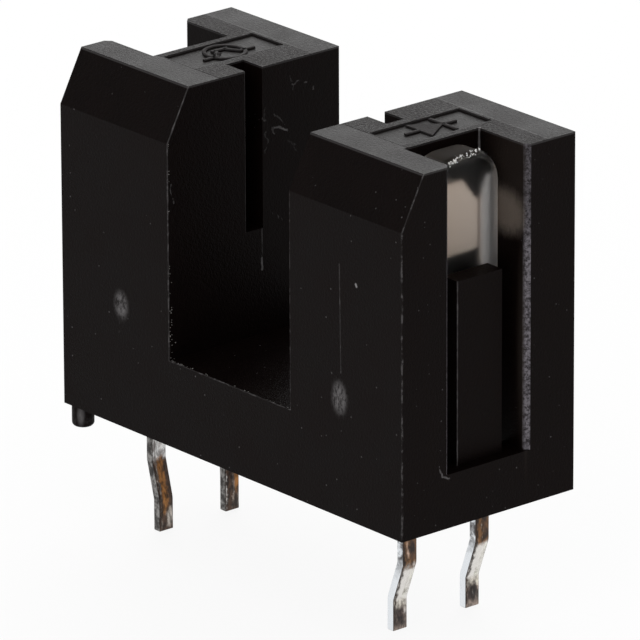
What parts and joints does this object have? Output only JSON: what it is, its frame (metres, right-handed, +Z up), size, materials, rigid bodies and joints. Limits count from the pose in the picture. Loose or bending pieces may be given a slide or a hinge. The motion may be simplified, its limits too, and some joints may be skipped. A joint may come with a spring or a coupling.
{
  "type": "slotted optical switch",
  "caption": "U-shaped optical switch: an infrared emitter and a light sensor face each other across a slot, and anything that passes through the slot breaks the beam.",
  "frame": {"origin": "centre of the housing's flat underside, where it seats on the circuit board", "axes": "+X from the sensor's tower to the emitter's tower, +Y towards the square back of the towers, +Z up out of the board"},
  "size_m": [0.014, 0.006, 0.0135],
  "materials": {
    "black_moulding": "fine moulded satin black",
    "clear_epoxy": "clear moulded epoxy",
    "smoked_epoxy": "smoked moulded epoxy",
    "tinned_lead": "bright tin plate with brown tarnish",
    "chip_silicon": "polished semiconductor die",
    "silver_adhesive": "silver-filled adhesive",
    "gold_wire": "drawn gold wire"
  },
  "bodies": {
    "root": {"housing": "black_moulding", "emitter_epoxy": "clear_epoxy", "emitter_pad_lead": "tinned_lead", "emitter_post_lead": "tinned_lead", "emitter_chip_adhesive": "silver_adhesive", "emitter_chip": "chip_silicon", "emitter_bond_wire": "gold_wire", "sensor_epoxy": "smoked_epoxy", "sensor_pad_lead": "tinned_lead", "sensor_post_lead": "tinned_lead", "sensor_chip_adhesive": "silver_adhesive", "sensor_chip": "chip_silicon", "sensor_bond_wire": "gold_wire"}
  },
  "joints": []
}
